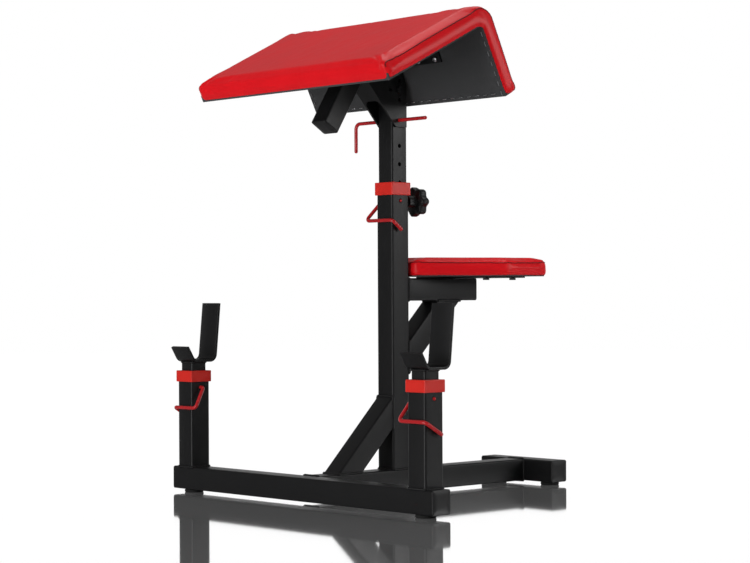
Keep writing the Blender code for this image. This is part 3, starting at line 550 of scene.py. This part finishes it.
for label in ("left", "right"):
    node = label + "_hook"
    low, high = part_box(node)
    x = (low.x + high.x) / 2
    y = joints[label + "_hook_pin_swing"]["pos_m"][1]
    floor_z = low.z + HOOK_PLATE / 2
    top = high.z
    back_run = (top - floor_z) * math.tan(HOOK_LEAN)
    line = bent([(x, y + HOOK_LIP[0], floor_z + HOOK_LIP[1]), (x, y + HOOK_LIP_FOOT, floor_z),
                 (x, y + HOOK_BACK, floor_z), (x, y + HOOK_BACK + back_run, top)], HOOK_BEND)
    strip = rounded_rectangle(HOOK_WIDTH, HOOK_PLATE, 0.0012, 3)
    piece = finished(skin(node + "_strip", swept(line, strip, ACROSS)), black_steel, node)
    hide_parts(node)

# --- Wire pins and the head's locking rod ------------------------------------
# 8 mm spring-steel rod, cold bent and dipped in red paint. Each passes
# through its tube and is rounded off at both ends.

PIN_R = 0.004
CLIP_BEND, HEAD_PIN_BEND = 0.0079, 0.012
ROD_STEP = 0.0012         # between two rings of a rod
# Bends beyond the tube's side: out, drop in front, tail (Y, drop)
MAST_CLIP = (0.030, 0.043, (-0.003, 0.065))
HOOK_CLIP = (0.020, 0.045, (0.015, 0.072))
HEAD_PIN_REACH, HEAD_PIN_LEG = 0.113, 0.065
# Where a pin starts, from the middle of the tube inside
MAST_CLIP_START, HOOK_CLIP_START = 0.0231, 0.021

red_rod = coated("red_painted_rod", (0.50, 0.012, 0.016), 0.20, 0.28, 0.0020, 0.00010, coat=0.3)


def rod(name, points, bend, node):
    """A round rod along a bent route, its radius closing in a half circle at each end."""
    route = even(bent(points, bend) if len(points) > 2 else np.array(points, float), ROD_STEP)
    run = np.minimum(np.arange(len(route)), np.arange(len(route))[::-1]) * ROD_STEP
    scale = np.sqrt(np.clip(1 - (1 - np.clip(run / PIN_R, 0, 1)) ** 2, 0.02, 1))
    up = unit(np.array((0.31, 0.83, 0.47)))
    piece = finished(skin(name, swept(route, circle(PIN_R, 20), up, scale)), red_rod, node, 60)
    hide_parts(node)


def clip_pin(node, at, side, inner, bends):
    """The shank goes in on one side, and the wire loops down across the tube's front."""
    at = np.array(at)
    half = TUBE_SIDE / 2
    out, drop, (tail_y, tail_drop) = bends
    route = [(inner, 0, 0), (half + 0.010, 0, 0), (half + out, -half - 0.005, -drop),
             (-half - 0.006, -half - 0.005, -drop), (-half - 0.008, tail_y, -tail_drop)]
    rod(node + "_wire", [at + (side * a, b, c) for a, b, c in route], CLIP_BEND, node)
    rod(node + "_end", [at - (side * inner, 0, 0), at - (side * (half + 0.0035), 0, 0)], 0,
        node + "_tip")


clip_pin("mast_pin", (0, post_y, pin_height), -1, MAST_CLIP_START, MAST_CLIP)
for side, label in ((-1, "left"), (1, "right")):
    clip_pin(label + "_hook_pin", joints[label + "_hook_pin_swing"]["pos_m"], -side, HOOK_CLIP_START,
             HOOK_CLIP)
inner = ARM_SIDE / 2 + 0.0006
rod("head_rod_handle", [head_pin - (inner, 0, 0), head_pin - (HEAD_PIN_REACH, 0, 0),
                        head_pin - (HEAD_PIN_REACH, 0, HEAD_PIN_LEG)], HEAD_PIN_BEND, "l_pin")
rod("head_rod_end", [head_pin + (inner, 0, 0), head_pin + (HEAD_PIN_REACH, 0, 0)], 0, "l_pin_tip")

# --- Star knob ---------------------------------------------------------------
# A moulded hand knob with seven rounded lobes on a steel stud, and the hub
# that carries the stud.

KNOB_R, KNOB_LOBES, KNOB_DEPTH = 0.0335, 7, 0.022

low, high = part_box("star_knob")
back = high.y - KNOB_DEPTH
# Distance along the stud, radius as a share of the lobes' reach, depth of the lobes
stations = [(low.y, 0.34, 0), (low.y + 0.001, 0.39, 0), (back - 0.004, 0.39, 0), (back - 0.001, 0.44, 0.1),
            (back, 0.80, 0.8), (back + 0.001, 0.93, 1), (back + 0.004, 1.0, 1), (high.y - 0.006, 1.0, 1),
            (high.y - 0.002, 0.95, 1), (high.y - 0.0004, 0.84, 0.8), (high.y, 0.70, 0.4),
            (high.y - 0.001, 0.42, 0), (high.y - 0.0012, 0.05, 0)]
angle = np.linspace(0, 2 * math.pi, KNOB_LOBES * 16, endpoint=False)
rows = []
for y, share, lobe in stations:
    reach = KNOB_R * share * (1 - lobe * 0.09 * (1 - np.cos(KNOB_LOBES * angle)))
    ring = (reach * np.cos(angle), np.full_like(angle, y), knob_height + reach * np.sin(angle))
    rows.append(np.stack(ring, -1))
knob = finished(skin("star_knob_moulding", rows), black_plastic, "star_knob", 50)
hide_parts("star_knob")

# --- Collars, feet, plates, bolts and boards ---------------------------------
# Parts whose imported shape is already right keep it: red moulded collars,
# rubber feet, laser-cut plates, zinc screws, and boards under a woven lining.

red_plastic = coated("red_moulded_plastic", (0.72, 0.022, 0.014), 0.10, 0.34, 0.0007, 0.00006)
rubber = coated("black_rubber_foot", (0.014, 0.014, 0.014), 0.20, 0.80, 0.0012, 0.00020)
zinc = coated("zinc_plate", (0.60, 0.60, 0.62), 0.12, 0.32, 0.0015, 0.00004, metallic=1.0)


def lining():
    """Black spunbond cloth over board: two crossed sets of fine threads over soft mottling."""
    made, tree, shader = new_material("board_lining", 0.85)
    place = add_node(tree, "ShaderNodeTexCoord").outputs["Object"]
    weave = [add_node(tree, "ShaderNodeTexWave", {"Vector": place, "Scale": 260.0, "Distortion": 2.5,
                                                  "Detail": 2.0}, bands_direction=way)
             for way in ("X", "Z")]
    cloth = add_node(tree, "ShaderNodeMath", {0: weave[0].outputs["Fac"], 1: weave[1].outputs["Fac"]},
                     operation="MULTIPLY")
    patch = add_node(tree, "ShaderNodeTexNoise", {"Vector": place, "Scale": 18.0, "Detail": 8.0})
    both = add_node(tree, "ShaderNodeMath", {0: cloth.outputs["Value"], 1: patch.outputs["Fac"]},
                    operation="MULTIPLY")
    tone = add_node(tree, "ShaderNodeMix", {"Factor": both.outputs["Value"]}, data_type="RGBA")
    tone.inputs["A"].default_value = (0.040, 0.041, 0.043, 1)
    tone.inputs["B"].default_value = (0.105, 0.107, 0.110, 1)
    tree.links.new(tone.outputs["Result"], shader.inputs["Base Color"])
    raised = add_node(tree, "ShaderNodeBump", {"Height": both.outputs["Value"], "Strength": 0.7,
                                               "Distance": 0.0003})
    tree.links.new(raised.outputs["Normal"], shader.inputs["Normal"])
    return made


board_cloth = lining()
slot_finish = {"black_steel": black_steel, "black_plastic": black_plastic, "red_plastic": red_plastic,
               "red_rod": red_rod, "zinc_steel": zinc, "black_rubber": rubber, "lined_board": board_cloth}
slot_of_node = {part["node"]: part["material_slot"] for part in frame["record"]["subparts"]}
for node, part in frame["nodes"].items():
    if slot_of_node[node] in slot_finish:
        part.data.materials.clear()
        part.data.materials.append(slot_finish[slot_of_node[node]])

# --- Cushions ----------------------------------------------------------------
# Foam cut to shape, covered in glossy red vinyl that is drawn over a board
# and stapled under it. The covering is blown up a little by the foam.

VINYL = (0.78, 0.006, 0.012)


def vinyl():
    """Red vinyl: pebbled cells for the grain, soft creases, and patches of shade and gloss."""
    made, tree, shader = new_material("red_vinyl", 0.34)
    shader.inputs["Specular IOR Level"].default_value = 0.15
    place = add_node(tree, "ShaderNodeTexCoord").outputs["Object"]
    cells = add_node(tree, "ShaderNodeTexVoronoi", {"Vector": place, "Scale": 900.0}, feature="SMOOTH_F1")
    creases = add_node(tree, "ShaderNodeTexNoise", {"Vector": place, "Scale": 22.0, "Detail": 5.0,
                                                    "Distortion": 0.8})
    patch = add_node(tree, "ShaderNodeTexNoise", {"Vector": place, "Scale": 9.0, "Detail": 3.0})
    tone = add_node(tree, "ShaderNodeMix", {"Factor": patch.outputs["Fac"]}, data_type="RGBA")
    tone.inputs["A"].default_value = (*(c * 0.86 for c in VINYL), 1)
    tone.inputs["B"].default_value = (*(c * 1.12 for c in VINYL), 1)
    tree.links.new(tone.outputs["Result"], shader.inputs["Base Color"])
    gloss = add_node(tree, "ShaderNodeMapRange", {"Value": patch.outputs["Fac"], "To Min": 0.28,
                                                  "To Max": 0.40})
    tree.links.new(gloss.outputs["Result"], shader.inputs["Roughness"])
    soft = add_node(tree, "ShaderNodeBump", {"Height": creases.outputs["Fac"], "Strength": 0.5,
                                             "Distance": 0.0016})
    raised = add_node(tree, "ShaderNodeBump", {"Height": cells.outputs["Distance"], "Strength": 0.5,
                                               "Distance": 0.00012, "Normal": soft.outputs["Normal"]})
    tree.links.new(raised.outputs["Normal"], shader.inputs["Normal"])
    return made


red_vinyl = vinyl()
# Dark red seam cord: partly the thread's own colour, partly painted shade of the groove along the seam.
seam_thread = coated("seam_thread", (0.14, 0.004, 0.006), 0.25, 0.60, 0.0006, 0.00010)
PUFF_FRAMES, PUFF_PRESSURE = 20, 2.0


def remeshed(piece, voxel):
    """Give a piece an even mesh, with cells of about one size."""
    change = piece.modifiers.new("even", "REMESH")
    change.mode = "VOXEL"
    change.voxel_size = voxel
    settle(piece)


def read_points(mesh):
    """A mesh's points as one array."""
    points = np.zeros(len(mesh.vertices) * 3)
    mesh.vertices.foreach_get("co", points)
    return points.reshape(-1, 3)


def puffed(piece, voxel, cap, is_held):
    """Blow a cushion up as cloth for a few frames, and cap how far each point moves."""
    remeshed(piece, voxel)
    before = read_points(piece.data)
    held = piece.vertex_groups.new(name="held")
    held.add(np.flatnonzero(is_held(before)).tolist(), 1.0, "REPLACE")
    cloth = piece.modifiers.new("covering", "CLOTH")
    cloth.settings.quality = 5
    cloth.settings.use_pressure = True
    cloth.settings.uniform_pressure_force = PUFF_PRESSURE
    cloth.settings.effector_weights.gravity = 0
    cloth.settings.vertex_group_mass = "held"
    for step in range(1, PUFF_FRAMES + 1):
        scene.frame_set(step)
    graph = bpy.context.evaluated_depsgraph_get()
    move = read_points(piece.evaluated_get(graph).data) - before
    piece.modifiers.clear()
    length = np.linalg.norm(move, axis=1, keepdims=True)
    move *= np.minimum(1, cap / np.maximum(length, 1e-9))
    piece.data.vertices.foreach_set("co", (before + move).ravel())
    scene.frame_set(1)
    piece.vertex_groups.clear()
    smooth = piece.modifiers.new("smooth", "SUBSURF")
    smooth.levels = smooth.render_levels = 1


def pocket(piece, rows):
    """Take the room of a board, given as rings of points, out of a cushion."""
    change = piece.modifiers.new("pocket", "BOOLEAN")
    change.object = skin(piece.name + "_room", rows)
    change.solver = "EXACT"


def upholstered(piece, node):
    finished(piece, red_vinyl, node, 50)
    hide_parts(node)


def outline_normals(ring):
    """Directions square to a closed flat outline, pointing away from its inside."""
    tangent = unit(np.roll(ring, -1, axis=0) - np.roll(ring, 1, axis=0))
    normal = np.stack((tangent[:, 1], -tangent[:, 0]), -1)
    area = np.sum(ring[:, 0] * np.roll(ring[:, 1], -1) - np.roll(ring[:, 0], -1) * ring[:, 1])
    return normal * np.sign(area)


def on_surface(piece, points, lift):
    """The nearest points of a piece's surface, raised along its normals."""
    tree = BVHTree.FromPolygons([v.co for v in piece.data.vertices],
                                [p.vertices for p in piece.data.polygons])
    found = [tree.find_nearest(Vector(point)) for point in points]
    return np.array([place + normal * lift for place, normal, _, _ in found])


def seam(name, piece, points, body, radius=0.0012, loop=False):
    """A sewn seam: a thin cord that follows the covering, nipped at each stitch; its dark colour is partly the
    thread and partly painted shade of the seam's groove.
    """
    route = even(on_surface(piece, even(points, 0.004, loop), 0.0002), 0.0010, loop)
    nip = 1 - 0.28 * np.abs(np.sin(np.arange(len(route)) * math.pi / 5)) ** 3
    up = unit(np.array((0.57, 0.31, 0.76)))
    cord = skin(name, swept(route, circle(radius, 6), up, nip, loop), loop)
    cord.data.materials.append(seam_thread)
    cord.data.polygons.foreach_set("use_smooth", [True] * len(cord.data.polygons))
    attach(cord, body)


# The pad: one covering over two slabs at a right angle, in the pad's own frame
PAD_FRONT, PAD_BACK = 0.298, 0.163
PAD_THICK, PAD_RIDGE, PAD_EDGE = 0.042, 0.040, 0.012
PAD_ROUND = 0.012         # of the edges at the two ends
PAD_FLAT, PAD_RINGS = 0.28, 60   # half length and rings of the even part between them
RIM, BOARD = 0.004, 0.015  # covering folded beside the board, and the board's thickness
HELD_ABOVE = 0.004        # the covering is drawn tight this far above a board

low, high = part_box("pad_cushion")
pad_half = high.x


def arc(centre, radius, start, end, steps):
    """Points along part of a circle, between two angles in degrees."""
    turn = np.radians(np.linspace(start, end, steps + 1))[:, None]
    return np.array(centre) + radius * np.hstack((np.cos(turn), np.sin(turn)))


outline = np.vstack([
    [(0, 0), (-PAD_FRONT + 0.004, 0)],
    arc((-PAD_FRONT + PAD_EDGE, PAD_THICK - PAD_EDGE), PAD_EDGE, 180, 90, 6),
    arc((PAD_THICK - PAD_RIDGE, PAD_THICK - PAD_RIDGE), PAD_RIDGE, 90, 0, 14),
    arc((PAD_THICK - PAD_EDGE, -PAD_BACK + PAD_EDGE), PAD_EDGE, 0, -90, 6),
    [(0, -PAD_BACK + 0.004)]])
loop_of = np.hstack([np.zeros((len(outline), 1)), outline])
profile = even(loop_of, 0.004, loop=True)[:, 1:]
normal = outline_normals(profile)
quarter = np.linspace(0, math.pi / 2, 5)
depth_in, run_in = PAD_ROUND * (1 - np.sin(quarter)), PAD_ROUND * (1 - np.cos(quarter))
flat = np.linspace(-PAD_FLAT, PAD_FLAT, PAD_RINGS)
xs = np.concatenate([-pad_half + run_in, flat, (pad_half - run_in)[::-1]])
insets = np.concatenate([depth_in, np.zeros(PAD_RINGS), depth_in[::-1]])
rows = []
for x, inset in zip(xs, insets):
    ring = profile - inset * normal
    rows.append(on_pad(np.column_stack([np.full(len(ring), x), ring])))
pad = skin("pad_upholstery", rows)


def under_pad(points):
    """True where the covering is stapled: on the two undersides and beside the boards."""
    local = (points - pad_origin) @ pad_turn
    return ((local[:, 2] < BOARD + HELD_ABOVE) & (local[:, 1] < 0.002)) | \
           ((local[:, 1] < BOARD + HELD_ABOVE) & (local[:, 2] < 0.002))


puffed(pad, 0.006, 0.005, under_pad)
room = pad_half - RIM
mouth, floor_in = -0.02, BOARD + 0.0003
front_room = ((-PAD_FRONT + RIM, mouth), (-RIM, mouth), (-RIM, floor_in), (-PAD_FRONT + RIM, floor_in))
rear_room = ((mouth, -PAD_BACK + RIM), (mouth, 0.0), (floor_in, 0.0), (floor_in, -PAD_BACK + RIM))
for side_view in (front_room, rear_room):
    pocket(pad, [on_pad([(x, y, z) for y, z in side_view]) for x in (-room, room)])
    settle(pad)
upholstered(pad, "pad_cushion")
top_line = outline[2:-1]
for side, label in ((-1, "left"), (1, "right")):
    edge = np.column_stack([np.full(len(top_line), side * (pad_half + 0.004)), top_line])
    seam(label + "_pad_seam", pad, on_pad(edge), "pad_head")

# The seat: narrow in front, flaring to a straight rear part
low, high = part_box("seat_cushion")
SEAT_NARROW = 0.042
SEAT_SHOULDER = 0.194     # from the front edge to where the flare ends
SEAT_CORNER = 0.022
SEAT_ROUND = 0.010
SEAT_RIM, SEAT_BOARD = 0.004, 0.012
front, back, half = low.y, high.y, high.x
plan = [(-half, back), (-half, front + SEAT_SHOULDER), (-SEAT_NARROW, front), (SEAT_NARROW, front),
        (half, front + SEAT_SHOULDER), (half, back)]
middle = (0.0, back)
closed = [middle + (0.0,)] + [(x, y, 0.0) for x, y in plan] + [middle + (0.0,)]
ring = even(bent(closed, SEAT_CORNER, 10)[:-1], 0.004, loop=True)[:, :2]
normal = outline_normals(ring)
quarter = np.linspace(0, math.pi / 2, 6)
lift = np.concatenate([[0.0], [0.004], high.z - low.z - 0.003 - SEAT_ROUND * (1 - np.sin(quarter))])
inset = np.concatenate([[0.001], [0.0], SEAT_ROUND * (1 - np.cos(quarter))])
rows = [np.column_stack([ring - shrink * normal, np.full(len(ring), low.z + rise)])
        for rise, shrink in zip(lift, inset)]
cushion = skin("seat_upholstery", rows)
seat_low = low.z
puffed(cushion, 0.005, 0.004,
       lambda points: points[:, 2] < seat_low + SEAT_BOARD + HELD_ABOVE)
inner_ring = ring - SEAT_RIM * normal
pocket(cushion, [np.column_stack([inner_ring, np.full(len(ring), z)])
                 for z in (low.z - 0.02, low.z + SEAT_BOARD + 0.0003)])
settle(cushion)
upholstered(cushion, "seat_cushion")
height = high.z - 0.006
outer = np.column_stack([ring + 0.004 * normal, np.full(len(ring), height)])
seam("seat_seam", cushion, outer, "frame", loop=True)

# --- Staples and pad screws ---------------------------------------------------
# Wire staples in a row along each edge of the lining, and pan-head screws
# that hold the bracket to the boards.

STAPLE_WIDTH, STAPLE_WIRE = 0.010, 0.0006
STAPLE_PITCH = 0.024
STAPLE_EDGE = 0.008


def staples(name, places, along, out, body):
    """One staple, a bar whose ends dip into the cloth, copied to every place by adding arrays."""
    along, out = unit(along), unit(out)
    half = STAPLE_WIDTH / 2
    line = np.array([(-half, -0.0008), (-half + 0.0003, 0.0002), (-half + 0.001, 0.0006),
                     (half - 0.001, 0.0006), (half - 0.0003, 0.0002), (half, -0.0008)])
    route = line[:, :1] * along + line[:, 1:] * out
    shape = swept(route, circle(STAPLE_WIRE, 6), np.cross(along, out))
    copies = (shape[None] + np.asarray(places)[:, None, None]).reshape(-1, 3)
    count = shape.shape[0] * shape.shape[1]
    index = np.arange(count).reshape(shape.shape[:2])
    quads = np.stack([index[:-1], np.roll(index, -1, 1)[:-1], np.roll(index, -1, 1)[1:], index[1:]], -1)
    quads = quads.reshape(-1, 4)
    ends = [index[0][::-1], index[-1]]
    faces = []
    for number in range(len(places)):
        faces += (quads + number * count).tolist() + [(end + number * count).tolist() for end in ends]
    piece = mesh_object(name, copies, faces)
    piece.data.materials.append(zinc)
    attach(piece, body)


def spaced(low, high):
    """Places from one value to another, about one pitch apart."""
    count = max(2, int(round((high - low) / STAPLE_PITCH)) + 1)
    return np.linspace(low, high, count)


board_half = pad_half - RIM - STAPLE_EDGE
boards = (("front", -PAD_FRONT + RIM + STAPLE_EDGE, 1), ("rear", -PAD_BACK + RIM + STAPLE_EDGE, 2))
for label, far, axis in boards:
    run = spaced(far, -0.010 - STAPLE_EDGE)
    for side, name in ((-1, "left"), (1, "right")):
        spots = np.zeros((len(run), 3))
        spots[:, 0] = side * board_half
        spots[:, axis] = run
        along = pad_turn @ np.eye(3)[axis]
        staples("%s_%s_staples" % (label, name), on_pad(spots), along, -pad_turn[:, 3 - axis], "pad_head")
    run = spaced(-board_half + STAPLE_PITCH, board_half - STAPLE_PITCH)
    spots = np.zeros((len(run), 3))
    spots[:, 0] = run
    spots[:, axis] = far
    staples(label + "_edge_staples", on_pad(spots), ACROSS, -pad_turn[:, 3 - axis], "pad_head")

SCREW_HEAD, SCREW_RISE = 0.0055, 0.0026
for node in sorted(frame["nodes"]):
    if "pad_screw" not in node:
        continue
    low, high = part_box(node)
    centre = np.array((low + high) / 2)
    out = -pad_turn[:, 2] if node.startswith("front") else -pad_turn[:, 1]
    points = read_points(frame["nodes"][node].data)
    seat_at = np.sort(points @ out)[-1] - SCREW_RISE
    foot = centre + (seat_at - centre @ out) * out
    turn = np.linspace(0, 2 * math.pi, 48, endpoint=False)
    shares = np.array((1.0, 1.0, 0.97, 0.90, 0.75, 0.55, 0.40, 0.25, 0.10))
    first, second = ACROSS, np.cross(out, ACROSS)
    rows = []
    for number, share in enumerate(shares):
        rise = 0 if number == 0 else SCREW_RISE * (0.35 + 0.65 * math.sqrt(max(0, 1 - share ** 2)))
        reach = share * SCREW_HEAD
        x, y = reach * np.cos(turn), reach * np.sin(turn)
        arms = (np.minimum(np.abs(x), np.abs(y)) < 0.0006) & (share < 0.6) & (number > 0)
        rise = rise - 0.0012 * arms
        rows.append(foot + x[:, None] * first + y[:, None] * second + np.asarray(rise).reshape(-1, 1) * out)
    head = finished(skin(node + "_head", rows), zinc, node)
    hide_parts(node)
